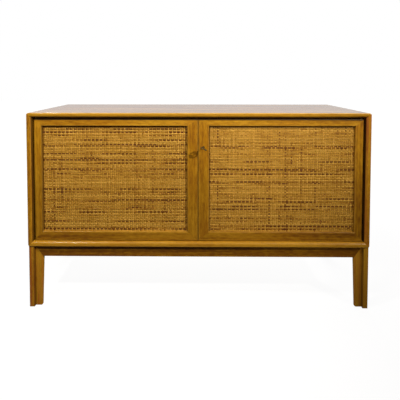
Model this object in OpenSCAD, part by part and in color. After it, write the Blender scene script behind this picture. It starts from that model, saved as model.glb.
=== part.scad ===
// Two-door oak sideboard with woven cane door panels on a low leg frame.
// Sizes are in mm. The floor is z = 0, the middle of the width is x = 0 and the front faces -y.

/* [Case] */
// Width over the outer faces of the two sides
case_w = 1300; // [1100:10:1600]
// Depth from the front edges to the back edges of the boards
case_d = 440; // [380:5:520]
// Height of the whole sideboard above the floor
total_h = 751; // [700:1:900]
// Thickness of the four boards of the case
board_t = 18; // [16:0.5:24]
// Radius of the soft round along the inner front edge of the boards
lip_r = 11; // [6:0.5:13]
// Radius of the four outer corners, seen from the front
corner_r = 10; // [2:0.5:12]
// Small radius on the outer front edge of the boards
arris_r = 2.5; // [1:0.5:4]
// Thickness of the upright between the two compartments
partition_t = 18; // [15:0.5:22]
// Thickness of the back panel
back_t = 5; // [4:0.5:8]
// How far the back panel sits in from the back edges
back_set = 3; // [1:0.5:6]
// Width of the step that the back panel lies in
back_step = 9; // [6:0.5:11]
// Free space round the edge of the back panel
back_gap = 1; // [0.5:0.5:2]
// Distance of the outer back screws in the sides from the underside and top of the case
back_screw_end = 60; // [40:5:100]
// Distance of the two back screws in the partition from the bottom and top boards
back_screw_mid = 110; // [60:5:150]
// Distance of the back screws in the top and bottom boards from the middle of the width
back_screw_x = 416; // [200:4:500]

/* [Leg frame] */
// Height of the leg frame, up to the underside of the case
leg_h = 239; // [160:1:280]
// Set-back of the legs from the front and back of the case
leg_set_y = 4; // [2:0.5:20]
// Set-back of the legs from the sides of the case
leg_set_x = 1; // [0:0.5:20]
// Thickness of the side boards of the legs, and of the aprons between them
leg_t = 20; // [16:0.5:26]
// Thickness of the inner wings of the legs, and of the front and back aprons
wing_t = 14; // [12:0.5:16]
// Set-back of the aprons and inner wings from the front strip of a leg
wing_set = 11; // [6:0.5:13]
// Width of the inner wing of a leg at its top
wing_w = 31; // [28:0.5:50]
// How much narrower each leg is at the foot
leg_taper = 7; // [0:0.5:8]
// Depth of a leg at its top, seen from the side
leg_depth = 37; // [36:1:80]
// Height of the aprons
apron_h = 44; // [35:1:60]
// Radius on the upright edges of the legs
leg_r = 3.5; // [1:0.5:5]
// Side of the triangular blocks inside the corners of the leg frame
block_w = 50; // [35:1:70]
// Height of those blocks
block_h = 32; // [25:1:34]
// Distance of the apron screws from the middle of the width
apron_screw_x = 495; // [300:5:500]
// Diameter of the sunk heads of the apron screws
apron_head_d = 9; // [7:0.5:12]
// Height of the foot glides
glide_h = 2; // [1:0.5:5]
// Diameter of the foot glides
glide_d = 15; // [10:1:16]

/* [Doors] */
// Set-back of the door faces from the front edges of the case
door_set = 12; // [8:0.5:16]
// Thickness of the door frames
door_t = 20; // [18:0.5:24]
// Free space between a door and the case, at its side and below it
door_gap = 2; // [1.5:0.25:3]
// Free space above a door, where the long top pins and their collars sit
top_gap = 6; // [2:0.5:7]
// Free space between the two doors
meet_gap = 2; // [1.5:0.25:3]
// Width of the stiles on the hinge side
stile_w = 34; // [30:1:55]
// Width of the two stiles that meet in the middle
meet_w = 40; // [38:1:55]
// Width of the top rails
top_rail_w = 27; // [24:1:50]
// Width of the bottom rails
low_rail_w = 34; // [26:1:60]
// Radius on the outer front edges of the door frames
door_r = 2; // [1:0.5:4]
// Radius on the inner front edges, next to the cane
inner_r = 3; // [1:0.5:4]
// Set-back of the cane from the face of the door
cane_set = 8; // [4:0.5:9]
// Thickness of the woven cane panel
cane_t = 2.6; // [1.6:0.1:3.5]
// Width of the step behind the frame that holds the cane
cane_step = 8; // [5:0.5:10]
// Width of the beads that hold the cane from behind
bead_w = 10; // [6:0.5:14]
// Thickness of those beads
bead_t = 7; // [5:0.5:8]
// Free space between the edge of the cane or bead and its step
panel_gap = 0.5; // [0.2:0.1:1]
// Free space between a closed door and what it stops against
stop_gap = 0.3; // [0.2:0.1:0.5]
// Height and depth of the stop strips behind the top rails
stop_w = 12; // [8:1:20]
// Distance of the stop strips from the middle and from the sides
stop_end = 50; // [40:5:120]

/* [Pivot hinges] */
// Length of the leaves let into the door and into the case
leaf_l = 50; // [35:1:70]
// Width of the leaves
leaf_w = 12; // [9:0.5:14]
// Thickness of the leaves
leaf_t = 2; // [1.5:0.25:2.5]
// Diameter of the pivot pins
pivot_d = 5; // [4:0.5:6]
// How far a pivot pin reaches into the door past its leaf
pivot_reach = 3; // [2:0.5:3]
// Diameter of the washers between the leaves
washer_d = 10; // [8:0.5:12]
// Free space round parts that turn or slide in a hole
run_gap = 0.3; // [0.2:0.05:0.5]
// Diameter of the small screws
screw_d = 3; // [2.5:0.25:3.5]
// Length of the small screws
screw_l = 14; // [10:1:15]

/* [Lock and key] */
// Height of the key above the floor
key_z = 619; // [560:1:660]
// Distance of the key from the edge of its door
key_in = 19; // [16:0.5:22]
// Angle of the bow of the key at rest, down to the right of level
key_tilt = 28; // [0:1:60]
// Width of the lock box
lock_w = 32; // [30:1:34]
// Height of the lock box
lock_h = 50; // [46:1:60]
// Depth of the lock box, let into the back of the stile
lock_t = 11; // [10:0.5:12]
// Thickness of the walls of the lock box
lock_wall = 1.5; // [1:0.25:2]
// Travel of the lock bolt
bolt_throw = 9; // [6:0.5:10]
// Height of the lock bolt
bolt_h = 8; // [6:0.5:9]
// Thickness of the lock bolt
bolt_t = 5; // [4:0.5:6]
// Diameter of the shank of the key
shank_d = 5; // [4:0.5:6]
// Length of the bit of the key, from the middle of the shank
bit_l = 6.5; // [5:0.5:7]
// Width of the bow of the key
bow_w = 26; // [16:1:32]
// Distance of the bow from the face of the door
bow_out = 20; // [6:0.5:26]
// Thickness of the bow
bow_t = 2.6; // [2:0.2:4]

/* [Slide bolt of the left door] */
// Diameter of the rod
rod_d = 6; // [5:0.5:7]
// Length of the rod
rod_l = 74; // [60:1:90]
// Travel of the rod
rod_throw = 12; // [8:1:14]
// Length of the base plate
rod_plate_l = 56; // [45:1:70]
// Width of the base plate
rod_plate_w = 16; // [14:1:20]

/* [Shelves] */
// Height of the underside of the two shelves above the floor
shelf_z = 488; // [440:1:520]
// Thickness of the shelves
shelf_t = 18; // [15:0.5:22]
// Free space at each end of a shelf
shelf_gap = 1.5; // [1:0.5:3]
// Distance between the front edge of a shelf and the back of the doors
shelf_front = 12; // [8:1:60]
// Diameter of the shelf pins
pin_d = 5; // [4:0.5:7]
// Length of a shelf pin outside its hole
pin_out = 12; // [9:1:15]
// Depth of the holes for the pins
pin_deep = 7; // [5:0.5:8]
// Distance of the pin holes from the middle of the depth
pin_y = 145; // [100:5:160]
// Distance between two pin holes, one above the other
pin_pitch = 32; // [25:1:40]

/* [Hidden] */
$fn = 48;
over = 1;
bow_d = bow_w * 0.8;
bow_mid = bow_out + bow_d / 2;
mid_y = (bow_mid + bow_d / 2 - door_set) / 2;
front = mid_y - case_d / 2;
back = mid_y + case_d / 2;
case_z = leg_h;
in_x = case_w / 2 - board_t;
in_z0 = case_z + board_t;
in_z1 = total_h - board_t;
back_y = back - back_set - back_t;
door_y = front + door_set;
door_back = door_y + door_t;
door_x = in_x - door_gap;
door_z0 = in_z0 + door_gap;
door_z1 = in_z1 - top_gap;
meet_x = meet_gap / 2;
pivot_x = door_x - door_t / 2;
pivot_y = door_y + door_t / 2;
stop_y = door_back + stop_gap;
open_x0 = meet_x + meet_w;
open_x1 = door_x - stile_w;
open_z0 = door_z0 + low_rail_w;
open_z1 = door_z1 - top_rail_w;
cane_y = door_y + cane_set;
bead_y = cane_y + cane_t;
leg_x = case_w / 2 - leg_set_x;
leg_y = front + leg_set_y;
wing_x1 = leg_x - leg_t;
wing_x0 = wing_x1 - wing_w;
wing_y = leg_y + wing_set;
apron_z = case_z - apron_h;
side_y = leg_y + leg_depth;
taper_a = atan(leg_taper / (apron_z - glide_h));
key_x = meet_x + key_in;
lock_y = door_back - lock_t;
bolt_y = lock_y + (lock_t - bolt_t) / 2;
bolt_z = key_z + bit_l + 1.5;
bolt_l = lock_w - 2 * lock_wall - bolt_throw * 0.5;
rod_x = -meet_x - meet_w * 0.6;
rod_y = door_back + 1.5 + rod_d / 2 + 1;
rod_z = door_z1 - rod_l - 2;
shelf_y0 = door_back + shelf_front;
shelf_y1 = back_y - shelf_gap;
shelf_x0 = partition_t / 2 + shelf_gap;
shelf_x1 = in_x - shelf_gap;
pin_z = shelf_z - pin_d / 2 - stop_gap;

oak = [0.64, 0.43, 0.17];
oak_dark = [0.52, 0.34, 0.14];
cane = [0.74, 0.56, 0.28];
ply = [0.60, 0.46, 0.28];
brass = [0.70, 0.60, 0.34];
iron = [0.42, 0.43, 0.40];
felt = [0.20, 0.18, 0.16];

// A flat shape in the x-z plane, given a depth along y
module face_prism(points, y0, depth) {
    translate([0, y0 + depth, 0]) rotate([90, 0, 0]) linear_extrude(depth) polygon(points);
}

// A flat shape in the y-z plane, given a width along x
module side_prism(points, x0, width) {
    translate([x0, 0, 0]) rotate([90, 0, 90]) linear_extrude(width) polygon(points);
}

// Puts a piece of the front at the same place at the back
module to_back() {
    translate([0, 2 * mid_y, 0]) mirror([0, 1, 0]) children();
}

// What a round of radius r removes from an edge along z; the wood lies at +x and +y
module edge_cut(length, r) {
    difference() {
        translate([-over, -over, 0]) cube([r + over, r + over, length]);
        translate([r, r, -over]) cylinder(r = r, h = length + 2 * over);
    }
}

// Cross-section of a case board: u runs from front to back, v from the inner to the outer face
module board_section() {
    difference() {
        union() {
            translate([lip_r, 0]) square([case_d - lip_r, board_t]);
            translate([0, lip_r]) square([lip_r + over, board_t - lip_r]);
            translate([lip_r, lip_r]) circle(r = lip_r);
        }
        translate([case_d - back_set - back_t, -over]) square([back_t + back_set + over, back_step + over]);
        difference() {
            translate([-over, board_t - arris_r]) square([arris_r + over, arris_r + over]);
            translate([arris_r, board_t - arris_r]) circle(r = arris_r);
        }
    }
}

// The outline of the case from the front, with its four round corners
module case_outline() {
    translate([0, back + over, 0]) rotate([90, 0, 0]) linear_extrude(case_d + 2 * over) {
        translate([-case_w / 2 + corner_r, case_z]) square([case_w - 2 * corner_r, total_h - case_z]);
        translate([-case_w / 2, case_z + corner_r]) square([case_w, total_h - case_z - 2 * corner_r]);
        for (x = [-1, 1])
            for (z = [case_z + corner_r, total_h - corner_r])
                translate([x * (case_w / 2 - corner_r), z]) circle(r = corner_r);
    }
}

// One row of shelf pin holes up the side of a board, starting at face x and going in the direction way
module pin_holes(x, way) {
    for (y = [mid_y - pin_y, mid_y + pin_y])
        for (i = [-2 : 2])
            translate([x - way * over, y, pin_z + i * pin_pitch])
                rotate([0, way * 90, 0])
                    cylinder(d = pin_d, h = pin_deep + over);
}

// The pocket for a pivot leaf in the case; z is the face and up is +1 in the bottom board, -1 in the top
module leaf_pocket(side, z, way) {
    translate([side * (pivot_x + leaf_w / 2 - leaf_l / 2) - leaf_l / 2, pivot_y - leaf_w / 2, way > 0 ? z - leaf_t : z])
        cube([leaf_l, leaf_w, leaf_t]);
}

// Places a thing at each of the two small screws of a leaf on the given side
module leaf_screw_places(side) {
    for (d = [0.42, 0.78])
        translate([side * (pivot_x + leaf_w / 2 - leaf_l * d), pivot_y, 0]) children();
}

// A countersunk screw with its head face at z = 0, pointing down
module small_screw() {
    head = screw_d * 0.6;
    translate([0, 0, -leaf_t]) cylinder(h = leaf_t, d1 = screw_d, d2 = screw_d + 2 * head);
    translate([0, 0, -screw_l]) cylinder(h = screw_l - leaf_t, d = screw_d);
}

module case_top() {
    color(oak) difference() {
        intersection() {
            translate([-case_w / 2, front, in_z1]) rotate([90, 0, 90]) linear_extrude(case_w) board_section();
            face_prism([[-case_w / 2, total_h], [case_w / 2, total_h], [in_x, in_z1], [-in_x, in_z1]],
                front - over, case_d + 2 * over);
            case_outline();
        }
        for (side = [-1, 1]) {
            leaf_pocket(side, in_z1, -1);
            leaf_screw_places(side) translate([0, 0, in_z1]) mirror([0, 0, 1]) small_screw();
        }
        translate([rod_x, rod_y, in_z1 - over]) cylinder(d = rod_d + 2 * run_gap, h = over + rod_throw);
        for (x = [-1, 1])
            translate([x * back_screw_x, back_y + over, in_z1 + back_step / 2]) back_screw_hole();
    }
}

module case_bottom() {
    color(oak) difference() {
        intersection() {
            translate([-case_w / 2, front, in_z0]) mirror([0, 0, 1])
                rotate([90, 0, 90]) linear_extrude(case_w) board_section();
            face_prism([[-case_w / 2, case_z], [case_w / 2, case_z], [in_x, in_z0], [-in_x, in_z0]],
                front - over, case_d + 2 * over);
            case_outline();
        }
        for (side = [-1, 1]) {
            leaf_pocket(side, in_z0, 1);
            leaf_screw_places(side) translate([0, 0, in_z0]) small_screw();
        }
        apron_screw_places() apron_screw();
        for (x = [-1, 1])
            translate([x * back_screw_x, back_y + over, in_z0 - back_step / 2]) back_screw_hole();
    }
}

module case_side_left() {
    color(oak) difference() {
        intersection() {
            translate([-in_x, front, case_z]) rotate([0, 0, 90]) linear_extrude(total_h - case_z) board_section();
            face_prism([[-case_w / 2, case_z], [-case_w / 2, total_h], [-in_x, in_z1], [-in_x, in_z0]],
                front - over, case_d + 2 * over);
            case_outline();
        }
        pin_holes(-in_x, -1);
        for (z = back_screw_heights())
            translate([-in_x - back_step / 2, back_y + over, z]) back_screw_hole();
    }
}

module case_side_right() {
    mirror([1, 0, 0]) case_side_left();
}

function back_screw_heights() = [case_z + back_screw_end, (case_z + total_h) / 2, total_h - back_screw_end];

module back_screw_hole() {
    rotate([90, 0, 0]) cylinder(d = screw_d, h = screw_l);
}

// The places of the back panel's screws, on the face of the panel
module back_screw_places() {
    for (side = [-1, 1]) {
        for (z = back_screw_heights())
            translate([side * (in_x + back_step / 2), back_y + back_t, z]) children();
        for (z = [in_z0 - back_step / 2, in_z1 + back_step / 2])
            translate([side * back_screw_x, back_y + back_t, z]) children();
    }
    for (z = [in_z0 + back_screw_mid, in_z1 - back_screw_mid])
        translate([0, back_y + back_t, z]) children();
}

module back_panel() {
    reach = back_step - back_gap;
    color(ply) difference() {
        translate([-in_x - reach, back_y, in_z0 - reach])
            cube([2 * (in_x + reach), back_t, in_z1 - in_z0 + 2 * reach]);
        back_screw_places() translate([0, over, 0]) rotate([90, 0, 0]) cylinder(d = screw_d, h = back_t + 2 * over);
    }
}

module back_screws() {
    color(iron) back_screw_places() {
        rotate([-90, 0, 0]) cylinder(h = 1.5, d1 = screw_d * 2, d2 = screw_d * 1.4);
        rotate([90, 0, 0]) cylinder(d = screw_d, h = screw_l - over);
    }
}

module partition() {
    color(oak) difference() {
        translate([-partition_t / 2, stop_y, in_z0]) cube([partition_t, back_y - stop_y, in_z1 - in_z0]);
        pin_holes(partition_t / 2, -1);
        pin_holes(-partition_t / 2, 1);
        for (z = [in_z0 + back_screw_mid, in_z1 - back_screw_mid])
            translate([0, back_y + over, z]) back_screw_hole();
    }
}

module stop_left() {
    color(oak) translate([-in_x + stop_end, stop_y, in_z1 - stop_w])
        cube([in_x - 2 * stop_end, stop_w, stop_w]);
}

module stop_right() {
    mirror([1, 0, 0]) stop_left();
}

// A shelf pin that points to +x out of its hole; its flange lies on the board
module shelf_pin() {
    rotate([0, 90, 0]) translate([0, 0, -pin_deep]) cylinder(d = pin_d, h = pin_deep + pin_out);
}

module shelf_pins() {
    color(brass) for (y = [mid_y - pin_y, mid_y + pin_y]) {
        for (side = [-1, 1]) {
            translate([side * in_x, y, pin_z]) mirror([side > 0 ? 1 : 0, 0, 0]) shelf_pin();
            translate([side * partition_t / 2, y, pin_z]) mirror([side > 0 ? 0 : 1, 0, 0]) shelf_pin();
        }
    }
}

module shelf_left() {
    color(oak) difference() {
        translate([-shelf_x1, shelf_y0, shelf_z]) cube([shelf_x1 - shelf_x0, shelf_y1 - shelf_y0, shelf_t]);
        translate([-shelf_x1 - over, shelf_y0, shelf_z + shelf_t]) rotate([0, 90, 0]) edge_cut(case_w / 2, 2);
        translate([-shelf_x1 - over, shelf_y0, shelf_z]) rotate([90, 0, 90]) edge_cut(case_w / 2, 2);
    }
}

module shelf_right() {
    mirror([1, 0, 0]) shelf_left();
}

// One leg: a side board and a narrower, set-back front wing that is mitred to the apron
module leg() {
    inner = -wing_x0;
    color(oak) difference() {
        union() {
            side_prism([
                [leg_y, case_z], [side_y, apron_z], [side_y - leg_taper, glide_h], [leg_y, glide_h]
            ], -leg_x, leg_t);
            face_prism([
                [-wing_x1, case_z], [inner, apron_z], [inner - leg_taper, glide_h], [-wing_x1, glide_h]
            ], wing_y, wing_t);
        }
        translate([-leg_x, leg_y, 0]) edge_cut(case_z + over, leg_r);
        translate([-wing_x1, leg_y, 0]) rotate([0, 0, 90]) edge_cut(case_z + over, leg_r / 2);
        translate([inner - leg_taper, wing_y, glide_h]) rotate([0, taper_a, 0]) rotate([0, 0, 90])
            translate([0, 0, -5]) edge_cut(apron_z, leg_r);
        translate([-leg_x, side_y - leg_taper, glide_h]) rotate([-taper_a, 0, 0]) rotate([0, 0, -90])
            translate([0, 0, -5]) edge_cut(apron_z, leg_r / 2);
    }
}

module leg_front_left() {
    leg();
}

module leg_front_right() {
    mirror([1, 0, 0]) leg();
}

module leg_back_left() {
    to_back() leg();
}

module leg_back_right() {
    mirror([1, 0, 0]) to_back() leg();
}

module apron_front() {
    color(oak) difference() {
        face_prism([[-wing_x1, case_z], [wing_x1, case_z], [wing_x0, apron_z], [-wing_x0, apron_z]],
            wing_y, wing_t);
        apron_screw_places() apron_screw();
    }
}

module apron_back() {
    to_back() apron_front();
}

module apron_left() {
    far = 2 * mid_y;
    color(oak) side_prism([[leg_y, case_z], [far - leg_y, case_z], [far - side_y, apron_z], [side_y, apron_z]],
        -leg_x, leg_t);
}

module apron_right() {
    mirror([1, 0, 0]) apron_left();
}

module corner_block() {
    translate([-wing_x1, wing_y + wing_t, case_z - block_h])
        linear_extrude(block_h) polygon([[0, 0], [block_w, 0], [0, block_w]]);
}

module corner_blocks() {
    color(oak_dark) for (x = [0, 1]) mirror([x, 0, 0]) {
        corner_block();
        to_back() corner_block();
    }
}

// The places of the four screws that go up through the aprons into the case
module apron_screw_places() {
    for (x = [-1, 1])
        for (y = [-1, 1])
            translate([x * apron_screw_x, mid_y + y * (wing_y + wing_t / 2 - mid_y), apron_z]) children();
}

module apron_screw() {
    cylinder(h = apron_head_d * 0.3, d1 = apron_head_d, d2 = screw_d * 1.5);
    cylinder(d = screw_d * 1.5, h = apron_h + board_t * 0.6);
}

module apron_screws() {
    color(iron) apron_screw_places() apron_screw();
}

module glides() {
    color(felt) for (x = [-1, 1])
        for (y = [-1, 1])
            translate([x * (leg_x - leg_t / 2), mid_y + y * (leg_y + leg_depth * 0.4 - mid_y), 0])
                cylinder(d = glide_d, h = glide_h);
}

module hinge_case_leaves() {
    color(brass) for (side = [-1, 1])
        for (way = [-1, 1]) {
            z = way > 0 ? in_z0 : in_z1;
            difference() {
                leaf_pocket(side, z, way);
                leaf_screw_places(side) translate([0, 0, z]) mirror([0, 0, way > 0 ? 0 : 1]) small_screw();
            }
            translate([side * pivot_x, pivot_y, z]) mirror([0, 0, way > 0 ? 0 : 1])
                cylinder(d = pivot_d, h = (way > 0 ? door_gap : top_gap) + leaf_t + pivot_reach);
        }
}

module hinge_case_screws() {
    color(brass) for (side = [-1, 1]) {
        leaf_screw_places(side) translate([0, 0, in_z0]) small_screw();
        leaf_screw_places(side) translate([0, 0, in_z1]) mirror([0, 0, 1]) small_screw();
    }
}

module hinge_washers() {
    color(brass) for (side = [-1, 1])
        for (way = [-1, 1])
            translate([side * pivot_x, pivot_y, way > 0 ? in_z0 : in_z1]) mirror([0, 0, way > 0 ? 0 : 1])
                difference() {
                    cylinder(d = washer_d, h = (way > 0 ? door_gap : top_gap) - run_gap);
                    translate([0, 0, -over]) cylinder(d = pivot_d, h = top_gap + 2 * over);
                }
}

// The whole outline of a door's frame, with the round on its hinge edge. The frames are drawn for the left
// door and mirrored for the right one.
module door_block() {
    h = door_z1 - door_z0;
    translate([-pivot_x, door_y, door_z0]) cube([pivot_x - meet_x, door_t, h]);
    translate([-pivot_x, pivot_y, door_z0]) cylinder(r = door_t / 2, h = h);
}

// The part of a door's frame inside a mitred outline
module door_member(points) {
    intersection() {
        door_block();
        face_prism(points, door_y - over, door_t + 2 * over);
    }
}

// The hole for the cane, the step behind it and the pockets for the hinge leaves
module door_hollows() {
    translate([-open_x1, door_y - over, open_z0])
        cube([open_x1 - open_x0, door_t + 2 * over, open_z1 - open_z0]);
    translate([-open_x1 - cane_step, cane_y, open_z0 - cane_step])
        cube([open_x1 - open_x0 + 2 * cane_step, door_t, open_z1 - open_z0 + 2 * cane_step]);
    for (z = [door_z0, door_z1 - leaf_t])
        translate([-pivot_x - leaf_w / 2, pivot_y - leaf_w / 2, z]) cube([leaf_l, leaf_w, leaf_t]);
    for (way = [-1, 1])
        translate([-pivot_x, pivot_y, way > 0 ? door_z0 : door_z1]) mirror([0, 0, way > 0 ? 0 : 1])
            cylinder(d = pivot_d + 2 * run_gap, h = leaf_t + pivot_reach + run_gap);
    leaf_screw_places(-1) translate([0, 0, door_z0]) mirror([0, 0, 1]) small_screw();
    leaf_screw_places(-1) translate([0, 0, door_z1]) small_screw();
}

module door_hinge_stile() {
    h = door_z1 - door_z0;
    difference() {
        door_member([[-door_x, door_z0], [-door_x, door_z1], [-open_x1, open_z1], [-open_x1, open_z0]]);
        door_hollows();
        translate([-open_x1, door_y, door_z0]) rotate([0, 0, 90]) edge_cut(h, inner_r);
    }
}

module door_meeting_stile() {
    h = door_z1 - door_z0;
    difference() {
        door_member([[-meet_x, door_z0], [-meet_x, door_z1], [-open_x0, open_z1], [-open_x0, open_z0]]);
        door_hollows();
        translate([-meet_x, door_y, door_z0 - over]) rotate([0, 0, 90]) edge_cut(h + 2 * over, door_r / 2);
        translate([-open_x0, door_y, door_z0]) edge_cut(h, inner_r);
    }
}

module door_top_rail() {
    difference() {
        door_member([[-door_x, door_z1], [-meet_x, door_z1], [-open_x0, open_z1], [-open_x1, open_z1]]);
        door_hollows();
        translate([-door_x, door_y, door_z1]) rotate([0, 90, 0]) edge_cut(case_w / 2, door_r);
        translate([-door_x, door_y, open_z1]) rotate([90, 0, 90]) edge_cut(case_w / 2, inner_r);
    }
}

module door_low_rail() {
    difference() {
        door_member([[-door_x, door_z0], [-meet_x, door_z0], [-open_x0, open_z0], [-open_x1, open_z0]]);
        door_hollows();
        translate([-door_x, door_y, open_z0]) rotate([0, 90, 0]) edge_cut(case_w / 2, inner_r);
        translate([-door_x, door_y, door_z0]) rotate([90, 0, 90]) edge_cut(case_w / 2, door_r);
    }
}

module door_cane() {
    reach = cane_step - panel_gap;
    color(cane) translate([-open_x1 - reach, cane_y, open_z0 - reach])
        cube([open_x1 - open_x0 + 2 * reach, cane_t, open_z1 - open_z0 + 2 * reach]);
}

module door_bead() {
    reach = cane_step - panel_gap;
    inner = bead_w - reach;
    color(oak) difference() {
        translate([-open_x1 - reach, bead_y, open_z0 - reach])
            cube([open_x1 - open_x0 + 2 * reach, bead_t, open_z1 - open_z0 + 2 * reach]);
        translate([-open_x1 + inner, bead_y - over, open_z0 + inner])
            cube([open_x1 - open_x0 - 2 * inner, bead_t + 2 * over, open_z1 - open_z0 - 2 * inner]);
    }
}

module door_hinge_leaves() {
    color(brass) for (way = [-1, 1])
        difference() {
            translate([-pivot_x - leaf_w / 2, pivot_y - leaf_w / 2, way > 0 ? door_z0 : door_z1 - leaf_t])
                cube([leaf_l, leaf_w, leaf_t]);
            translate([-pivot_x, pivot_y, way > 0 ? door_z0 - over : door_z1 - leaf_t - over])
                cylinder(d = pivot_d + 2 * run_gap, h = leaf_t + 2 * over);
            leaf_screw_places(-1) translate([0, 0, way > 0 ? door_z0 : door_z1])
                mirror([0, 0, way > 0 ? 1 : 0]) small_screw();
        }
}

module door_hinge_screws() {
    color(brass) leaf_screw_places(-1) {
        translate([0, 0, door_z0]) mirror([0, 0, 1]) small_screw();
        translate([0, 0, door_z1]) small_screw();
    }
}

module left_hinge_stile() {
    color(oak) door_hinge_stile();
}

module left_meeting_stile() {
    color(oak) difference() {
        door_meeting_stile();
        translate([-meet_x - bolt_throw - 2, bolt_y - 1, bolt_z - 1]) cube([bolt_throw + 4, bolt_t + 2, bolt_h + 2]);
        translate([-meet_x - 1.5, lock_y, bolt_z - 12]) cube([3, lock_t - 2, bolt_h + 24]);
    }
}

module left_top_rail() {
    color(oak) door_top_rail();
}

module left_low_rail() {
    color(oak) door_low_rail();
}

module left_cane() {
    door_cane();
}

module left_bead() {
    door_bead();
}

module left_hinge_leaves() {
    door_hinge_leaves();
}

module left_hinge_screws() {
    door_hinge_screws();
}

// The thin plate on the edge of the left door that the lock bolt goes through
module left_strike() {
    color(brass) difference() {
        translate([-meet_x - 1.5, lock_y, bolt_z - 12]) cube([1.5, lock_t - 2, bolt_h + 24]);
        translate([-meet_x - 3, bolt_y - 1, bolt_z - 1]) cube([4, bolt_t + 2, bolt_h + 2]);
    }
}

module slide_bolt_base() {
    plate_t = 1.5;
    z0 = rod_z + (rod_l - rod_plate_l) / 2 - 6;
    color(brass) {
        translate([rod_x - rod_plate_w / 2, door_back, z0]) cube([rod_plate_w, plate_t, rod_plate_l]);
        for (z = [z0 + 3, z0 + rod_plate_l - 11])
            difference() {
                translate([rod_x - rod_d / 2 - 2, door_back, z]) cube([rod_d + 4, plate_t + rod_d + 3, 8]);
                translate([rod_x, rod_y, z - over]) cylinder(d = rod_d + 2 * run_gap, h = 8 + 2 * over);
            }
    }
}

module slide_bolt_rod() {
    knob_z = rod_z + rod_l / 2 - rod_throw / 2 - 6;
    color(brass) {
        translate([rod_x, rod_y, rod_z]) cylinder(d = rod_d, h = rod_l);
        translate([rod_x, rod_y, knob_z]) rotate([-90, 0, 0]) cylinder(d = rod_d * 0.7, h = rod_d / 2 + 9);
    }
}

module right_hinge_stile() {
    color(oak) mirror([1, 0, 0]) door_hinge_stile();
}

// The outline of the keyhole, wider by more on all sides
module keyhole(more) {
    circle(d = shank_d + 2 + 2 * more);
    translate([-bow_t / 2 - 0.7 - more, -bit_l - 1 - more]) square([bow_t + 1.4 + 2 * more, bit_l + 1]);
}

module right_meeting_stile() {
    color(oak) difference() {
        mirror([1, 0, 0]) door_meeting_stile();
        translate([meet_x - over, lock_y, key_z - lock_h / 2]) cube([lock_w + over, lock_t + over, lock_h]);
        translate([key_x, lock_y + over, key_z]) rotate([90, 0, 0]) linear_extrude(door_t) keyhole(0);
        translate([key_x, door_y + 2, key_z]) rotate([90, 0, 0]) linear_extrude(door_t) keyhole(1);
        lock_screw_places() rotate([90, 0, 0]) cylinder(d = screw_d, h = lock_t + 5);
    }
}

module right_top_rail() {
    color(oak) mirror([1, 0, 0]) door_top_rail();
}

module right_low_rail() {
    color(oak) mirror([1, 0, 0]) door_low_rail();
}

module right_cane() {
    mirror([1, 0, 0]) door_cane();
}

module right_bead() {
    mirror([1, 0, 0]) door_bead();
}

module right_hinge_leaves() {
    mirror([1, 0, 0]) door_hinge_leaves();
}

module right_hinge_screws() {
    mirror([1, 0, 0]) door_hinge_screws();
}

module keyhole_liner() {
    color(iron) translate([key_x, door_y + 2, key_z]) rotate([90, 0, 0]) linear_extrude(2) difference() {
        keyhole(1);
        keyhole(0);
    }
}

// The places of the two screws that hold the lock box, on its back face
module lock_screw_places() {
    for (z = [-1, 1])
        translate([meet_x + lock_w / 2, door_back, key_z + z * (lock_h / 2 - 3.5)]) children();
}

module lock_box() {
    color(iron) difference() {
        translate([meet_x, lock_y, key_z - lock_h / 2]) cube([lock_w, lock_t, lock_h]);
        translate([meet_x + lock_wall, lock_y + lock_wall, key_z - lock_h / 2 + 7])
            cube([lock_w - 2 * lock_wall, lock_t - 2 * lock_wall, lock_h - 14]);
        translate([meet_x - over, bolt_y - run_gap, bolt_z - run_gap])
            cube([lock_wall + 2 * over, bolt_t + 2 * run_gap, bolt_h + 2 * run_gap]);
        translate([key_x, lock_y + lock_wall + over, key_z]) rotate([90, 0, 0])
            linear_extrude(lock_wall + 2 * over) keyhole(0);
        lock_screw_places() translate([0, over, 0]) rotate([90, 0, 0]) cylinder(d = screw_d, h = lock_t + 2 * over);
    }
}

module lock_screws() {
    color(iron) lock_screw_places() rotate([90, 0, 0]) cylinder(d = screw_d, h = lock_t + 4);
}

module lock_bolt() {
    color(brass) translate([meet_x + 0.5, bolt_y, bolt_z]) cube([bolt_l, bolt_t, bolt_h]);
}

// The key at rest: bow and bit lie in one plane, turned down from level by key_tilt
module key() {
    tip = lock_t - lock_wall - 1;
    color(iron) translate([key_x, 0, key_z]) rotate([0, key_tilt, 0]) {
        translate([0, lock_y + tip, 0]) rotate([90, 0, 0]) cylinder(d = shank_d, h = lock_y + tip - door_y + bow_out + 2);
        translate([0, bolt_y, -1]) cube([bit_l, bolt_t, 2]);
        translate([0, door_y - 1.5, 0]) rotate([90, 0, 0]) cylinder(d = shank_d + 1.6, h = 2);
        translate([0, door_y - bow_mid, -bow_t / 2]) difference() {
            bow(bow_w, bow_d);
            for (x = [-1, 1])
                translate([x * bow_w * 0.2, 0, -over]) cylinder(d = bow_w * 0.3, h = bow_t + 2 * over);
        }
    }
}

// A flat bow of two overlapping rounds, w wide and d deep
module bow(w, d) {
    for (x = [-1, 1])
        translate([x * (w - d) / 2, 0, 0]) cylinder(d = d, h = bow_t);
    translate([-(w - d) / 2, -d / 2, 0]) cube([w - d, d, bow_t]);
}

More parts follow.
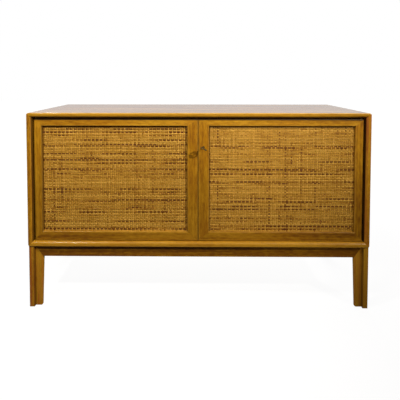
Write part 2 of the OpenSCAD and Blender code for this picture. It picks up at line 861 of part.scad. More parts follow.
case_top();
case_bottom();
case_side_left();
case_side_right();
back_panel();
partition();
stop_left();
stop_right();
back_screws();
shelf_pins();
shelf_left();
shelf_right();
leg_front_left();
leg_front_right();
leg_back_left();
leg_back_right();
apron_front();
apron_back();
apron_left();
apron_right();
corner_blocks();
apron_screws();
glides();
hinge_case_leaves();
hinge_case_screws();
hinge_washers();
left_hinge_stile();
left_meeting_stile();
left_top_rail();
left_low_rail();
left_cane();
left_bead();
left_hinge_leaves();
left_hinge_screws();
left_strike();
slide_bolt_base();
slide_bolt_rod();
right_hinge_stile();
right_meeting_stile();
right_top_rail();
right_low_rail();
right_cane();
right_bead();
right_hinge_leaves();
right_hinge_screws();
keyhole_liner();
lock_box();
lock_screws();
lock_bolt();
key();
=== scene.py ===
"""Looks of a low oak sideboard with two doors of woven cane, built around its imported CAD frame."""
import math

import bpy
from mathutils import Matrix, Vector


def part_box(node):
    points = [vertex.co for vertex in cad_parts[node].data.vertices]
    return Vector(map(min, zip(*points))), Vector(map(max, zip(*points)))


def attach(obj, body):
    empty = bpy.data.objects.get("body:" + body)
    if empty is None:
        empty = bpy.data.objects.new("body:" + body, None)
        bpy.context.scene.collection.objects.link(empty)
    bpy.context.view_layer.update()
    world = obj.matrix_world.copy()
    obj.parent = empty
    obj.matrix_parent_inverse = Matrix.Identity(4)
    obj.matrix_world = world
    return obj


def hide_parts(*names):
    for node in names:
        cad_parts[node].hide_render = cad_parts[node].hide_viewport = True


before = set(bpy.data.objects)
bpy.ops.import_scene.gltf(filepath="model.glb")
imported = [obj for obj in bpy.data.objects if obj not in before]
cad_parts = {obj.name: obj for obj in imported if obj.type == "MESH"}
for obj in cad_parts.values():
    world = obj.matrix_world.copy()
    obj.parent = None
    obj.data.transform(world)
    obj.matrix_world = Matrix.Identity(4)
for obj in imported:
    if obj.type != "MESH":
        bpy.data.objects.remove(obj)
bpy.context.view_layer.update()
scene = bpy.context.scene


# ---- the camera, as it stood for the photograph ----

SENSOR_WIDTH = 36.0                              # mm
FOCAL_LENGTH = 33.11                             # mm
SHIFT_ACROSS, SHIFT_UP = 0.0242, -0.2724         # parts of the sensor's width
NEAREST_SEEN = 0.05
CAMERA_PLACE = (-0.0169, -1.5827, 0.8849)
TURNED, TILTED_DOWN, ROLLED = 0.528, 2.131, 0.013    # degrees


def make_camera():
    data = bpy.data.cameras.new("camera")
    data.sensor_width = SENSOR_WIDTH
    data.lens = FOCAL_LENGTH
    data.shift_x = SHIFT_ACROSS
    data.shift_y = SHIFT_UP
    data.clip_start = NEAREST_SEEN
    camera = bpy.data.objects.new("camera", data)
    scene.collection.objects.link(camera)
    turn = Matrix.Rotation(math.radians(TURNED), 4, "Z") @ Matrix.Rotation(math.radians(90 - TILTED_DOWN), 4, "X")
    turn = turn @ Matrix.Rotation(math.radians(ROLLED), 4, "Z")
    camera.matrix_world = Matrix.Translation(CAMERA_PLACE) @ turn
    scene.camera = camera


# ---- nodes written as sums ----

# sockets of a Mix node that mixes colours
MIX_SHARE, MIX_FIRST, MIX_SECOND, MIX_RESULT = 0, 6, 7, 2


class Wire:
    """The output of a node. Arithmetic on it adds Math nodes."""

    def __init__(self, graph, socket):
        self.graph = graph
        self.socket = socket

    def out(self, name):
        """Another output of the same node, by name or number."""
        return Wire(self.graph, self.socket.node.outputs[name])

    def maths(self, operation, *others):
        return self.graph.add("ShaderNodeMath", {"operation": operation}, dict(enumerate((self,) + others)))

    def __add__(self, other):
        return self.maths("ADD", other)

    __radd__ = __add__

    def __sub__(self, other):
        return self.maths("SUBTRACT", other)

    def __rsub__(self, other):
        return self.graph.add("ShaderNodeMath", {"operation": "SUBTRACT"}, {0: other, 1: self})

    def __mul__(self, other):
        return self.maths("MULTIPLY", other)

    __rmul__ = __mul__

    def __truediv__(self, other):
        return self.maths("DIVIDE", other)

    def __pow__(self, other):
        return self.maths("POWER", other)

    def least(self, other):
        return self.maths("MINIMUM", other)

    def most(self, other):
        return self.maths("MAXIMUM", other)

    def size(self):
        return self.maths("ABSOLUTE")

    def fade(self, start, end, low=0.0, high=1.0):
        """low before start, high after end, with a soft change between."""
        settings = {"interpolation_type": "SMOOTHSTEP", "clamp": True}
        return self.graph.add("ShaderNodeMapRange", settings, {0: self, 1: start, 2: end, 3: low, 4: high})


class Graph:
    """A node tree that is filled by add()."""

    def __init__(self, tree):
        self.tree = tree
        tree.nodes.clear()

    def add(self, kind, settings=None, sockets=None, output=0):
        """A new node with these settings and inputs; gives one of its outputs."""
        node = self.tree.nodes.new(kind)
        for name, value in (settings or {}).items():
            setattr(node, name, value)
        for name, value in (sockets or {}).items():
            if isinstance(value, Wire):
                self.tree.links.new(value.socket, node.inputs[name])
            else:
                node.inputs[name].default_value = value
        return Wire(self, node.outputs[output]) if len(node.outputs) else None

    def ramp(self, share, stops):
        """A colour between stops, which are pairs of place and colour."""
        colour = self.add("ShaderNodeValToRGB", {}, {0: share})
        elements = colour.socket.node.color_ramp.elements
        while len(elements) < len(stops):
            elements.new(0.5)
        for element, (place, tint) in zip(elements, stops):
            element.position = place
            element.color = tint
        return colour

    def mix(self, share, first, second):
        """Two colours, mixed."""
        settings = {"data_type": "RGBA", "blend_type": "MIX", "clamp_factor": True}
        sockets = {MIX_SHARE: share, MIX_FIRST: first, MIX_SECOND: second}
        return self.add("ShaderNodeMix", settings, sockets, MIX_RESULT)

    def vector(self, x, y, z):
        return self.add("ShaderNodeCombineXYZ", {}, {0: x, 1: y, 2: z})

    def split(self, vector):
        """A vector's X. Its Y and Z are other outputs of the same node."""
        return self.add("ShaderNodeSeparateXYZ", {}, {0: vector})

    def noise(self, vector, scale, detail, roughness, distortion=0.0):
        sockets = {
            "Vector": vector, "Scale": scale, "Detail": detail, "Roughness": roughness, "Distortion": distortion}
        return self.add("ShaderNodeTexNoise", {"noise_dimensions": "3D"}, sockets)


def srgb(red, green, blue):
    """A colour given as it looks on a screen, 0 to 255."""
    def linear(value):
        value = value / 255
        return value / 12.92 if value <= 0.04045 else ((value + 0.055) / 1.055) ** 2.4
    return (linear(red), linear(green), linear(blue), 1.0)


def new_material(name):
    material = bpy.data.materials.new(name)
    material.use_nodes = True
    return material, Graph(material.node_tree)


def close_surface(graph, fixed, varied, bump, bump_depth):
    """Ends a material in one shader: fixed values on its own sockets, varied ones linked, and a bump."""
    sockets = dict(fixed)
    sockets.update(varied)
    sockets["Normal"] = graph.add("ShaderNodeBump", {}, {"Strength": 1.0, "Distance": bump_depth, "Height": bump})
    shader = graph.add("ShaderNodeBsdfPrincipled", {}, sockets)
    graph.add("ShaderNodeOutputMaterial", {}, {"Surface": shader})


# ---- grain that runs along a board ----

GRAIN_ORDER = {"X": (0, 1, 2), "Y": (1, 2, 0), "Z": (2, 0, 1)}
SEED_SHIFT = (1.37, 0.113, 0.071)    # metres that each seed moves along, across and through the grain


def object_point(graph):
    """The X of a point on the piece, in metres. Its Y and Z are other outputs of the same node."""
    return graph.split(graph.add("ShaderNodeTexCoord", {}, {}, "Object"))


def grain_axes(point, grain, seed):
    """A point along, across and through the grain, shifted by the seed, so that no two boards match."""
    return [point.out(number) + seed * shift for number, shift in zip(GRAIN_ORDER[grain], SEED_SHIFT)]


def grain_noise(graph, axes, stretch, detail, roughness, distortion=0.0):
    """Noise with its own scale along, across and through the grain."""
    place = graph.vector(*(axis * scale for axis, scale in zip(axes, stretch)))
    return graph.noise(place, 1.0, detail, roughness, distortion)


def weighed(noises, weights):
    """The sum of some noises about their middle, each times its weight."""
    total = None
    for name, weight in weights.items():
        part = (noises[name] - 0.5) * weight
        total = part if total is None else total + part
    return total


# ---- oak ----

OAK_LIGHT = srgb(204, 145, 30)
OAK_MID = srgb(174, 117, 13)
OAK_DARK = srgb(124, 73, 6)
OAK_PORE = srgb(70, 38, 8)
OAK_WARM = srgb(178, 102, 16)
OAK_RED = srgb(182, 92, 30)
OAK_RUBBED_AND_HIGHLIT = srgb(224, 170, 70)
# the colour of painted shade in gaps and recesses
OAK_PAINTED_SHADE = srgb(26, 14, 5)

# scales along, across and through the grain, detail, roughness, distortion
OAK_NOISES = {
    "wander": ((1.6, 9, 9), 2.0, 0.5),
    "streak": ((2.2, 120, 120), 3.0, 0.6),
    "broad": ((1.1, 16, 16), 2.0, 0.5),
    "cloud": ((6, 10, 10), 2.0, 0.5),
    "mottle": ((40, 140, 140), 2.0, 0.5),
    "pore": ((95, 1500, 1500), 1.0, 0.4),
    "fleck": ((70, 260, 60), 1.0, 0.5, 0.4),
    "rub": ((22, 60, 60), 2.0, 0.6),
}
OAK_DARKENED_BY = {"broad": 1.5, "streak": 1.2, "cloud": 0.6, "mottle": 1.1}
OAK_DEPTH = 0.42                      # where the colour lies between light and dark, before all that varies it

RINGS_PER_METRE = 310
RING_SWAY, RING_DRIFT = 0.016, 2      # metres, and rings
LATE_WOOD_DEPTH = 0.22
PORE_FADE, PORE_SHARE, PORE_LOST_IN_LATE_WOOD = (0.60, 0.72), 0.55, 0.7
FLECK_FADE, FLECK_SHARE = (0.66, 0.78), 0.22
WARM_FADE, WARM_SHARE = (0.35, 0.7), 0.30
RED_FADE = (0.4, 0.62)
RUB_UNEVENNESS, RUB_FADE = 0.004, (0.0005, 0.0042)
FRONT_EDGE = (-0.2048, -0.2015)       # Y where the case's front edge ends and its faces begin
PAINTED_SHADE_FADE = (-0.192, -0.18)          # Y behind the door faces, where the painted shade begins to end and has ended
OAK_SHEEN = {"IOR": 1.45, "Specular IOR Level": 0.3, "Coat Roughness": 0.18, "Coat IOR": 1.5}
OAK_ROUGHNESS, OAK_BUMP = 0.42, 0.00016


def edge_wear_and_highlight(point, box, rub, worn):
    """How far an edge is rubbed lighter, which on the case top also paints the highlight of its front edge. An edge
    is where a point is near two faces of the board's box at once.
    """
    low, high = box
    gaps = [(point.out(number) - low[number]).least(high[number] - point.out(number)) for number in range(3)]
    nearer, farther = gaps[0].least(gaps[1]), gaps[0].most(gaps[1])
    second = nearer.most(farther.least(gaps[2]))
    return (second + (rub - 0.5) * RUB_UNEVENNESS).fade(*RUB_FADE, 1.0, 0.0) * worn


def oak(name, grain, seed, box, tone, warmth, pith, worn, polish, front, red, painted_shades):
    """Oiled oak cut along one axis: growth rings round a pith, streaks, open pores, rubbed edges, painted highlight
    and painted shade.
    """
    material, graph = new_material(name)
    point = object_point(graph)
    axes = grain_axes(point, grain, seed)
    noises = {label: grain_noise(graph, axes, *values) for label, values in OAK_NOISES.items()}
    # growth rings lie round a pith beside the board, and wander along it
    ring_x = axes[1] + pith[0] + (noises["wander"] - 0.5) * RING_SWAY
    ring_y = axes[2] + pith[1]
    radius = (ring_x * ring_x + ring_y * ring_y) ** 0.5
    ring = (radius * RINGS_PER_METRE + noises["wander"] * RING_DRIFT).maths("FRACT")
    late_wood = ring.fade(0.35, 0.95) * ring.fade(0.95, 1.0, 1.0, 0.0)
    # open pores are short dark dashes, mostly in the early wood; pale flecks lie across the grain
    pore = noises["pore"].fade(*PORE_FADE) * (1.0 - late_wood * PORE_LOST_IN_LATE_WOOD)
    fleck = noises["fleck"].fade(*FLECK_FADE)
    depth = weighed(noises, OAK_DARKENED_BY) + late_wood * LATE_WOOD_DEPTH + OAK_DEPTH - tone
    if front:
        # painted highlight: the front edge is lighter than the faces, where it catches the light
        depth = depth - point.out("Y").fade(*FRONT_EDGE, front, 0.0)
    colour = graph.ramp(depth, [(0.0, OAK_LIGHT), (0.5, OAK_MID), (1.0, OAK_DARK)])
    colour = graph.mix(pore * PORE_SHARE, colour, OAK_PORE)
    colour = graph.mix(fleck * FLECK_SHARE, colour, OAK_LIGHT)
    colour = graph.mix(noises["cloud"].fade(*WARM_FADE, 0.0, WARM_SHARE) * warmth, colour, OAK_WARM)
    if red:
        colour = graph.mix(noises["streak"].fade(*RED_FADE) * red, colour, OAK_RED)
    # edge wear, and on the case top also a painted highlight along its front edge
    colour = graph.mix(edge_wear_and_highlight(point, box, noises["rub"], worn), colour, OAK_RUBBED_AND_HIGHLIT)
    for axis, place, width, strength in painted_shades:
        # painted shade: darker where a door closes against the board, in its gaps and recesses and lower down,
        # standing in for shade
        near = (point.out(axis).size() - place).size().fade(width * 0.6, width, strength, 0.0)
        near = near * point.out("Y").fade(*PAINTED_SHADE_FADE, 1.0, 0.0)
        colour = graph.mix(near, colour, OAK_PAINTED_SHADE)
    rough = OAK_ROUGHNESS + (noises["streak"] - 0.5) * 0.16 + pore * 0.18
    height = late_wood * 0.3 + noises["streak"] * 0.4 - pore
    close_surface(graph, dict(OAK_SHEEN, **{"Coat Weight": polish}), {"Base Color": colour, "Roughness": rough},
                  height, OAK_BUMP)
    return material


# ---- sawn wood, metals and the glides ----

SAWN_NOISES = {"streak": ((3, 90, 90), 3.0, 0.6), "cloud": ((4, 9, 9), 2.0, 0.5)}
SAWN_DARKENED_BY = {"streak": 0.9, "cloud": 0.7}
SAWN_ROUGHNESS, SAWN_BUMP = 0.62, 0.0003

METAL_BUMP = 0.00005
GLIDE_SCUFFED = srgb(92, 84, 74)
GLIDE_SEED, GLIDE_BUMP = 3, 0.0001


def sawn_wood(name, grain, seed, light, dark):
    """Wood that nobody was meant to see: sawn blocks and the ply back."""
    material, graph = new_material(name)
    axes = grain_axes(object_point(graph), grain, seed)
    noises = {label: grain_noise(graph, axes, *values) for label, values in SAWN_NOISES.items()}
    colour = graph.ramp(weighed(noises, SAWN_DARKENED_BY) + 0.5, [(0.0, light), (1.0, dark)])
    rough = SAWN_ROUGHNESS + (noises["streak"] - 0.5) * 0.2
    close_surface(graph, {"Specular IOR Level": 0.25}, {"Base Color": colour, "Roughness": rough},
                  noises["streak"], SAWN_BUMP)
    return material


def metal(name, seed, clean, tarnish, roughness):
    """Old metal with tarnish in clouds and fine scratches."""
    material, graph = new_material(name)
    axes = grain_axes(object_point(graph), "X", seed)
    dull = graph.noise(graph.vector(*axes), 140, 3.0, 0.6).fade(0.35, 0.68)
    scratch = grain_noise(graph, axes, (400, 400, 400), 2.0, 0.7)
    varied = {
        "Base Color": graph.mix(dull, clean, tarnish), "Roughness": roughness + dull * 0.22 + (scratch - 0.5) * 0.15,
        "Metallic": 1.0 - dull * 0.35}
    close_surface(graph, {}, varied, scratch, METAL_BUMP)
    return material


def glide_plastic(name, colour):
    """A moulded glide, scuffed underneath."""
    material, graph = new_material(name)
    axes = grain_axes(object_point(graph), "X", GLIDE_SEED)
    scuff = graph.noise(graph.vector(*axes), 300, 3.0, 0.6)
    tint = graph.mix(scuff.fade(0.4, 0.8, 0.0, 0.5), colour, GLIDE_SCUFFED)
    close_surface(graph, {}, {"Base Color": tint, "Roughness": 0.5 + scuff * 0.2}, scuff, GLIDE_BUMP)
    return material


# ---- cane ----

CANE_DARK = srgb(112, 62, 18)
CANE_STOPS = [(0.0, srgb(224, 168, 66)), (0.45, srgb(198, 143, 46)), (0.75, srgb(166, 109, 30)), (1.0, CANE_DARK)]
CANE_DEPTH = 0.4                        # where the colour lies on the stops, before all that varies it
# painted shade along the edges of each opening
CANE_PAINTED_SHADE, PAINTED_SHADE_SHARE = srgb(74, 42, 14), 0.7
PAINTED_SHADE_TOP = (0.6915, 0.694)              # Z where the painted shade along the top begins and is full
PAINTED_SHADE_SIDES = (-0.596, 0.041)            # X of each opening's left edge
CANE_ROUGHNESS, CANE_BUMP = 0.44, 0.00008


def cane(name):
    """Split cane: every strand has its own tone, fibres run along it and its edges are darker."""
    material, graph = new_material(name)
    tone, along, across = (
        graph.add("ShaderNodeAttribute", {"attribute_name": "strand_" + label}, {}, "Fac")
        for label in ("tone", "along", "across"))
    # the tone also serves as each strand's own place in the noises
    patch = graph.noise(graph.vector(along * 0.16, across * 0.6, tone * 97), 1.0, 2.0, 0.6)
    fibre = graph.noise(graph.vector(along * 0.5, across * 9, tone * 61), 1.0, 2.0, 0.6)
    # dark strands are dark in runs, not from end to end
    run = graph.noise(graph.vector(along * 0.055, 0.0, tone * 71), 1.0, 1.0, 0.5).fade(0.43, 0.57, 0.25, 1.3)
    lean = tone - 0.5
    depth = (lean * 0.8 + lean * lean * lean * 6.5) * run + (patch - 0.5) * 1.8 + (fibre - 0.5) * 0.35 + CANE_DEPTH
    colour = graph.ramp(depth, CANE_STOPS)
    colour = graph.mix(across.size().fade(0.26, 0.46) * 0.55, colour, CANE_DARK)
    # painted shade along the top and left edges of each opening, where the rail and stile beside it cast shade
    point = object_point(graph)
    painted_shade = point.out("Z").fade(*PAINTED_SHADE_TOP)
    for side_x in PAINTED_SHADE_SIDES:
        painted_shade = painted_shade.most((point - side_x).size().fade(0.003, 0.005, 1.0, 0.0))
    colour = graph.mix(painted_shade * PAINTED_SHADE_SHARE, colour, CANE_PAINTED_SHADE)
    rough = CANE_ROUGHNESS + (fibre - 0.5) * 0.2
    close_surface(graph, {"Specular IOR Level": 0.25}, {"Base Color": colour, "Roughness": rough}, fibre, CANE_BUMP)
    return material


COLUMNS, ROWS = 75, 71                  # upright and level strands in a door
HALF_THICKNESS, SWING = 0.00052, 0.00090
UNEVENNESS = 0.36                       # how far strands stray, in cells
POINTS_PER_CELL = 3
FLAT_TOP = 1.7                          # makes a strand flat on top of each crossing
HEXAGON_HEIGHT = 0.866                  # of a six-sided profile with radius 1
# so that upright and level strands, and widths and tones, don't get the same random numbers
WIDTH_NUMBERS, TONE_NUMBERS, TONE_SEED = 1000, 3000, 7
WEAVE_INPUTS = [
    ("Strands", "Int", COLUMNS), ("Cells", "Int", ROWS), ("Upright", "Float", 1.0),
    ("Width", "Float", 0.9), ("Width Spread", "Float", 0.06),
    ("Half Thickness", "Float", HALF_THICKNESS), ("Swing", "Float", SWING),
    ("Pitch X", "Float", 0.0075), ("Pitch Z", "Float", 0.006),
    ("Unevenness", "Float", UNEVENNESS), ("Tone Spread", "Float", 1.0),
    ("Corner", "Vector", (0.0, 0.0, 0.0)), ("Seed", "Int", 1),
]
# widths are in cells of the weave
UPRIGHT_STRANDS = {"Width": 0.6, "Width Spread": 0.02, "Tone Spread": 0.6}
LEVEL_STRANDS = {"Width": 0.88, "Width Spread": 0.12}
LEVEL_TONE_SPREAD = {"left": 0.92, "right": 0.94}


def own_number(graph, low, high, strand, seed):
    """A random number from low to high for each strand."""
    sockets = {2: low, 3: high, "ID": strand, "Seed": seed}
    return graph.add("FunctionNodeRandomValue", {"data_type": "FLOAT"}, sockets, 1)


def keep_value(graph, geometry, name, value):
    """Stores a value on every point under a name."""
    sockets = {"Geometry": geometry, "Name": name, "Value": value}
    return graph.add("GeometryNodeStoreNamedAttribute", {"data_type": "FLOAT", "domain": "POINT"}, sockets)


def weave_tree(name, material):
    """Geometry Nodes: strands in a plain weave, laid out in cells of the weave and then placed in the door."""
    tree = bpy.data.node_groups.new(name, "GeometryNodeTree")
    face = tree.interface
    face.new_socket("Geometry", in_out="INPUT", socket_type="NodeSocketGeometry")
    for label, kind, value in WEAVE_INPUTS:
        face.new_socket(label, in_out="INPUT", socket_type="NodeSocket" + kind).default_value = value
    face.new_socket("Geometry", in_out="OUTPUT", socket_type="NodeSocketGeometry")
    graph = Graph(tree)
    strands = graph.add("NodeGroupInput", {}, {}, "Strands")
    given = strands.out
    cells, upright, seed = given("Cells"), given("Upright"), given("Seed")
    level = 1.0 - upright
    # one strand, with some points to a cell, repeated for every strand
    line = graph.add("GeometryNodeCurvePrimitiveLine", {}, {
        "Start": (-1 / 3, 0, 0), "End": graph.vector(cells - 2 / 3, 0.0, 0.0)})
    line = graph.add("GeometryNodeResampleCurve", {}, {"Curve": line, "Count": cells * POINTS_PER_CELL})
    starts = graph.add("GeometryNodeMeshLine", {}, {"Count": strands, "Offset": (0, 1, 0)})
    laid = graph.add("GeometryNodeInstanceOnPoints", {}, {"Points": starts, "Instance": line})
    laid = graph.add("GeometryNodeRealizeInstances", {}, {0: laid})
    place = graph.split(graph.add("GeometryNodeInputPosition"))
    number = place.out("Y")
    laid = keep_value(graph, laid, "strand_number", number)
    laid = keep_value(graph, laid, "strand_along", place)
    # over and under
    turn = ((place + number) * math.pi).maths("COSINE") * FLAT_TOP
    lift = turn.least(1.0).most(-1.0) * given("Swing") * (1.0 - upright * 2)
    laid = graph.add("GeometryNodeSetPosition", {}, {"Geometry": laid, "Offset": graph.vector(0.0, 0.0, lift)})
    laid = graph.add("GeometryNodeSetCurveNormal", {"mode": "Z_UP"}, {0: laid})
    outline = graph.add("GeometryNodeCurvePrimitiveCircle", {"mode": "RADIUS"}, {"Resolution": 6, "Radius": 1.0})
    place = graph.split(graph.add("GeometryNodeInputPosition"))
    crown = place.out("Y") * given("Half Thickness") / HEXAGON_HEIGHT
    crown = graph.vector(place * given("Width") * 0.5, crown, 0.0)
    outline = graph.add("GeometryNodeSetPosition", {}, {"Geometry": outline, "Position": crown})
    woven = graph.add("GeometryNodeCurveToMesh", {}, {"Curve": laid, "Profile Curve": outline, "Fill Caps": True})
    # from cells to the door: uneven strands, then metres
    place = graph.split(graph.add("GeometryNodeInputPosition"))
    index = graph.add("GeometryNodeInputNamedAttribute", {"data_type": "FLOAT"}, {"Name": "strand_number"})
    side = place.out("Y") - index
    own_width = own_number(graph, -1.0, 1.0, index + WIDTH_NUMBERS * upright, seed)
    own_tone = own_number(graph, -0.5, 0.5, index + TONE_NUMBERS * upright, seed + TONE_SEED)
    woven = keep_value(graph, woven, "strand_across", side)
    woven = keep_value(graph, woven, "strand_tone", own_tone * given("Tone Spread") + 0.5)
    track = index + side * (1.0 + own_width * given("Width Spread"))
    column = track * upright + place * level
    row = place * upright + track * level
    stray = graph.noise(graph.vector(column * 0.035, row * 0.75, seed + 0.5), 1.0, 1.0, 0.5)
    row_now = row + (stray - 0.5) * given("Unevenness") * 2
    stray = graph.noise(graph.vector(column * 0.6, row * 0.02, seed + 9.5), 1.0, 1.0, 0.5)
    column_now = column + (stray - 0.5) * given("Unevenness") * 0.6
    corner = graph.split(given("Corner"))
    spot = graph.vector(
        corner + (column_now + 0.5) * given("Pitch X"),
        corner.out("Y") - place.out("Z"),
        corner.out("Z") + (row_now + 0.5) * given("Pitch Z"))
    woven = graph.add("GeometryNodeSetPosition", {}, {"Geometry": woven, "Position": spot})
    woven = graph.add("GeometryNodeSetShadeSmooth", {}, {"Geometry": woven})
    woven = graph.add("GeometryNodeRealizeInstances", {}, {0: woven})
    woven = graph.add("GeometryNodeSetMaterial", {}, {"Geometry": woven, "Material": material})
    graph.add("NodeGroupOutput", {}, {0: woven})
    return tree


def grow(name, tree, values):
    """Runs a Geometry Nodes tree with these input values and keeps the result as a plain mesh."""
    carrier = bpy.data.objects.new(name + "_carrier", bpy.data.meshes.new(name + "_carrier"))
    scene.collection.objects.link(carrier)
    modifier = carrier.modifiers.new("grow", "NODES")
    modifier.node_group = tree
    for item in tree.interface.items_tree:
        if item.item_type == "SOCKET" and item.in_out == "INPUT" and item.name in values:
            modifier[item.identifier] = values[item.name]
    shown = carrier.evaluated_get(bpy.context.evaluated_depsgraph_get())
    mesh = bpy.data.meshes.new_from_object(shown)
    mesh.name = name
    carrier.modifiers.remove(modifier)
    bpy.data.objects.remove(carrier)
    piece = bpy.data.objects.new(name, mesh)
    scene.collection.objects.link(piece)
    return piece


def weave_door(side, seed, tree):
    """The woven panel of one door: upright strands and level strands, in the space of the CAD sheet."""
    low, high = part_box(side + "_cane")
    size = high - low
    common = {
        "Pitch X": size.x / COLUMNS, "Pitch Z": size.z / ROWS, "Corner": (low.x, (low.y + high.y) / 2, low.z),
        "Half Thickness": HALF_THICKNESS, "Swing": SWING, "Unevenness": UNEVENNESS, "Seed": seed,
    }
    upright = grow(side + "_cane_upright", tree, dict(
        common, Strands=COLUMNS, Cells=ROWS, Upright=1.0, **UPRIGHT_STRANDS))
    common["Tone Spread"] = LEVEL_TONE_SPREAD[side]
    level = grow(side + "_cane_level", tree, dict(
        common, Strands=ROWS, Cells=COLUMNS, Upright=0.0, **LEVEL_STRANDS))
    upright.data.flip_normals()
    for piece in (upright, level):
        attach(piece, side + "_door")
    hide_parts(side + "_cane")
    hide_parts(side + "_cane")


# ---- each CAD piece gets its own board or metal ----

BOARDS = [
    # node, grain, tone, wear along edges. Tone is the wood's own lightness, but it was set board by board to match
    # brightness, so it also holds painted light and shade: lighter on case_bottom's lip, leg_front_right and the
    # left door's top rail and hinge stile, darker on case_top's top face, apron_front and the right door's hinge
    # stile and low rail.
    ("case_top", "X", -0.3, 1.0), ("case_bottom", "X", 0.4, 0.6),
    ("case_side_left", "Z", 0.0, 0.35), ("case_side_right", "Z", -0.06, 0.35),
    ("partition", "Z", 0.0, 0.1), ("stop_left", "X", 0.0, 0.0), ("stop_right", "X", 0.0, 0.0),
    ("shelf_left", "X", 0.0, 0.2), ("shelf_right", "X", 0.05, 0.2),
    ("leg_front_left", "Z", 0.16, 0.3), ("leg_front_right", "Z", 0.95, 0.3),
    ("leg_back_left", "Z", 0.0, 0.3), ("leg_back_right", "Z", 0.0, 0.3),
    ("apron_front", "X", -0.3, 0.0), ("apron_back", "X", 0.0, 0.2),
    ("apron_left", "Y", 0.0, 0.2), ("apron_right", "Y", 0.0, 0.2),
    ("left_hinge_stile", "Z", 0.26, 0.3), ("left_meeting_stile", "Z", -0.08, 0.3),
    ("left_top_rail", "X", 0.3, 0.3), ("left_low_rail", "X", 0.0, 0.3), ("left_bead", "X", 0.0, 0.0),
    ("right_hinge_stile", "Z", -0.08, 0.3), ("right_meeting_stile", "Z", -0.04, 0.3),
    ("right_top_rail", "X", -0.03, 0.3), ("right_low_rail", "X", -0.2, 0.3), ("right_bead", "X", 0.0, 0.0),
]
# boards that are wiped and polished more than the others
POLISH, POLISH_ELSEWHERE = {"case_top": 0.82, "case_bottom": 0.4}, 0.06
# boards with a painted highlight on the front edge
PAINTED_FRONT_LIGHT = {"case_top": 0.5}
# boards with red streaks
RED = {"case_side_right": 0.6, "leg_front_left": 0.8, "leg_front_right": 0.45}
LEG_WARMTH = 0.6

# painted shade, darker where shade falls in gaps and recesses and towards the bottom of the doors: axis, distance
# from the middle or the floor, width, strength
# painted shade under the case top's overhang, in the gap between the doors, towards the bottom of the doors where
# the light falls off, and beside each front leg's outer strip
DOOR_TOP_SHADE = ("Z", 0.727, 0.006, 0.92)
DOOR_MEET_SHADE = ("X", 0.001, 0.0014, 0.4)
DOOR_LOW_SHADE = ("Z", 0.26, 0.32, 0.13)
LEG_STEP_SHADE = ("X", 0.629, 0.0022, 0.6)
# painted shade in the gaps round the doors: the sides' inner faces, the hinge stiles' outer edges and the left hinge
# stile's edge at the cane
PAINTED_SHADES = {
    "case_side_left": [("X", 0.632, 0.0026, 0.72)], "case_side_right": [("X", 0.6305, 0.0026, 0.95)],
    "left_meeting_stile": [DOOR_TOP_SHADE, DOOR_MEET_SHADE, DOOR_LOW_SHADE], "right_meeting_stile": [DOOR_TOP_SHADE, DOOR_MEET_SHADE, DOOR_LOW_SHADE],
    "left_hinge_stile": [DOOR_TOP_SHADE, DOOR_LOW_SHADE, ("X", 0.63, 0.006, 0.45), ("X", 0.596, 0.004, 0.5)],
    "right_hinge_stile": [DOOR_TOP_SHADE, DOOR_LOW_SHADE, ("X", 0.63, 0.0074, 0.88)],
    "left_low_rail": [DOOR_LOW_SHADE], "right_low_rail": [DOOR_LOW_SHADE],
    "left_top_rail": [DOOR_TOP_SHADE], "right_top_rail": [DOOR_TOP_SHADE],
    "leg_front_left": [LEG_STEP_SHADE], "leg_front_right": [LEG_STEP_SHADE],
}

SAWN_PIECES = [
    # node, material, seed, light, dark
    ("corner_blocks", "sawn_oak", 40, srgb(176, 134, 84), srgb(128, 88, 46)),
    ("back_panel", "ply_back", 41, srgb(188, 142, 80), srgb(148, 102, 48)),
]
METALS = [
    # material, seed, clean, tarnished, roughness, nodes
    ("aged_brass", 1, srgb(186, 150, 84), srgb(96, 74, 38), 0.34, (
        "hinge_case_leaves", "hinge_case_screws", "hinge_washers", "left_hinge_leaves", "left_hinge_screws",
        "right_hinge_leaves", "right_hinge_screws", "left_strike", "slide_bolt_base", "slide_bolt_rod",
        "shelf_pins", "lock_bolt")),
    ("dull_steel", 2, srgb(140, 138, 130), srgb(82, 78, 70), 0.42, (
        "back_screws", "apron_screws", "lock_box", "lock_screws")),
    ("key_nickel", 3, srgb(158, 142, 92), srgb(58, 48, 26), 0.34, ("key",)),
    ("dark_bronze", 4, srgb(78, 60, 32), srgb(34, 26, 14), 0.5, ("keyhole_liner",)),
]


def dress(node, material):
    """Gives a CAD piece its material."""
    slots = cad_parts[node].material_slots
    if not len(slots):
        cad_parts[node].data.materials.append(material)
    for slot in slots:
        slot.material = material


def dress_frame():
    for number, (node, grain, tone, worn) in enumerate(BOARDS):
        # every board is cut beside its own pith, and is a little more or less warm than the next
        pith = (0.08 + 0.013 * (number % 5), 0.03 + 0.017 * (number % 4))
        warmth = 0.3 + 0.15 * (number % 4) + (LEG_WARMTH if node.startswith("leg") else 0.0)
        dress(node, oak("oak_" + node, grain, number + 1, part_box(node), tone, warmth, pith, worn,
                        POLISH.get(node, POLISH_ELSEWHERE), PAINTED_FRONT_LIGHT.get(node, 0.0), RED.get(node, 0.0),
                        PAINTED_SHADES.get(node, ())))
    for node, name, seed, light, dark in SAWN_PIECES:
        dress(node, sawn_wood(name, "X", seed, light, dark))
    for name, seed, clean, tarnish, roughness, nodes in METALS:
        material = metal(name, seed, clean, tarnish, roughness)
        for node in nodes:
            dress(node, material)
    dress("glides", glide_plastic("glide_plastic", srgb(44, 38, 32)))


# ---- the studio ----

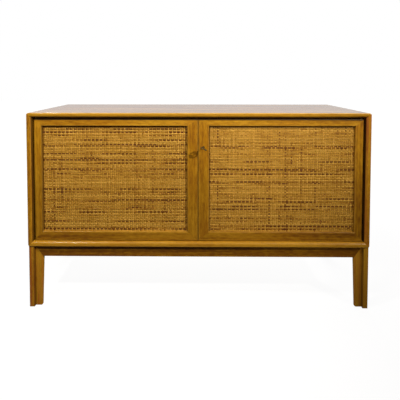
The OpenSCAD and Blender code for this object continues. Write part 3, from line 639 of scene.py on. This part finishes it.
SPOTS = [
    # name, place, target, radius, watts, width of the cone in degrees
    ("lamp_right", (1.76, -1.62, 1.95), (-0.5, -0.2, 1.28), 0.05, 285, 82),
    ("lamp_left", (-1.0, -0.95, 1.7), (-0.6, -0.2, 0.95), 0.06, 50, 95),
    ("lamp_low_left", (-0.9, -1.7, 1.15), (0.75, -0.2, 0.52), 0.15, 34, 38),
]
PANELS = [
    # name, place, target, size, watts, whether polish mirrors it
    ("lamp_over_front", (-0.06, -0.5, 1.0), (-0.06, -0.2, 0.6), (1.2, 0.05), 1.0, True),
    ("lamp_behind", (0.0, 2.6, 1.7), (0.0, 0.2, 0.4), (2.0, 1.2), 30, False),
]
WHITE = (1.0, 1.0, 1.0, 1.0)
FLOOR_GREY = (0.17, 0.165, 0.16, 1.0)
FLOOR_HALF = 12.0
FLOOR_GLOW = (0.9, 2.2, 0.93, 1.0)         # metres where it changes, glow near the piece, glow farther off
MIRRORED_AIR = (-0.1, 0.35, 0.05, 0.9)     # Y of the direction where it changes, strength in front, strength behind
FILL_AIR = (-0.1, 0.5, 0.02, 0.35)


def hang_lamp(name, data, place, target):
    """A lamp at a place that shines at a target, and isn't seen itself."""
    lamp = bpy.data.objects.new(name, data)
    scene.collection.objects.link(lamp)
    lamp.location = place
    lamp.rotation_euler = (Vector(target) - Vector(place)).to_track_quat("-Z", "Y").to_euler()
    lamp.visible_camera = False
    return lamp


def make_lamps():
    for name, place, target, radius, watts, angle in SPOTS:
        data = bpy.data.lights.new(name, "SPOT")
        data.shadow_soft_size = radius
        data.energy = watts
        data.spot_size = math.radians(angle)
        data.spot_blend = 1.0
        hang_lamp(name, data, place, target)
    for name, place, target, size, watts, mirrored in PANELS:
        data = bpy.data.lights.new(name, "AREA")
        data.shape = "RECTANGLE"
        data.size, data.size_y = size
        data.energy = watts
        hang_lamp(name, data, place, target).visible_glossy = mirrored


def make_floor():
    """White to the camera, with a faint shadow of the piece, and plain white farther off."""
    material, graph = new_material("studio_floor")
    seen = graph.add("ShaderNodeLightPath", {}, {}, "Is Camera Ray")
    seen = seen.most(seen.out("Is Transmission Ray"))
    x = object_point(graph)
    y = x.out("Y")
    far = (x * x + y * y) ** 0.5
    diffuse = graph.add("ShaderNodeBsdfDiffuse", {}, {"Color": FLOOR_GREY})
    glow = graph.add("ShaderNodeEmission", {}, {"Color": WHITE, "Strength": far.fade(*FLOOR_GLOW)})
    both = graph.add("ShaderNodeAddShader", {}, {0: diffuse, 1: glow})
    surface = graph.add("ShaderNodeMixShader", {}, {0: seen, 1: diffuse, 2: both})
    graph.add("ShaderNodeOutputMaterial", {}, {"Surface": surface})
    half = FLOOR_HALF
    mesh = bpy.data.meshes.new("studio_floor")
    mesh.from_pydata([(-half, -half, 0), (half, -half, 0), (half, half, 0), (-half, half, 0)], [], [(0, 1, 2, 3)])
    mesh.materials.append(material)
    floor = bpy.data.objects.new("studio_floor", mesh)
    scene.collection.objects.link(floor)


def make_air():
    """White where the camera looks, and a low fill that is dimmer towards the room in front."""
    world = bpy.data.worlds.new("studio_air")
    scene.world = world
    world.use_nodes = True
    graph = Graph(world.node_tree)
    seen = graph.add("ShaderNodeLightPath", {}, {}, "Is Camera Ray")
    gloss = seen.out("Is Glossy Ray").most(seen.out("Is Transmission Ray"))
    way = graph.split(graph.add("ShaderNodeTexCoord", {}, {}, "Generated")).out("Y")
    strength = seen + (1.0 - seen) * (gloss * way.fade(*MIRRORED_AIR) + (1.0 - gloss) * way.fade(*FILL_AIR))
    air = graph.add("ShaderNodeBackground", {}, {"Color": WHITE, "Strength": strength})
    graph.add("ShaderNodeOutputWorld", {}, {"Surface": air})


make_camera()
dress_frame()
cane_tree = weave_tree("cane_weave", cane("woven_cane"))
weave_door("left", 2, cane_tree)
weave_door("right", 109, cane_tree)
make_lamps()
make_floor()
make_air()
scene.view_settings.view_transform = "Standard"
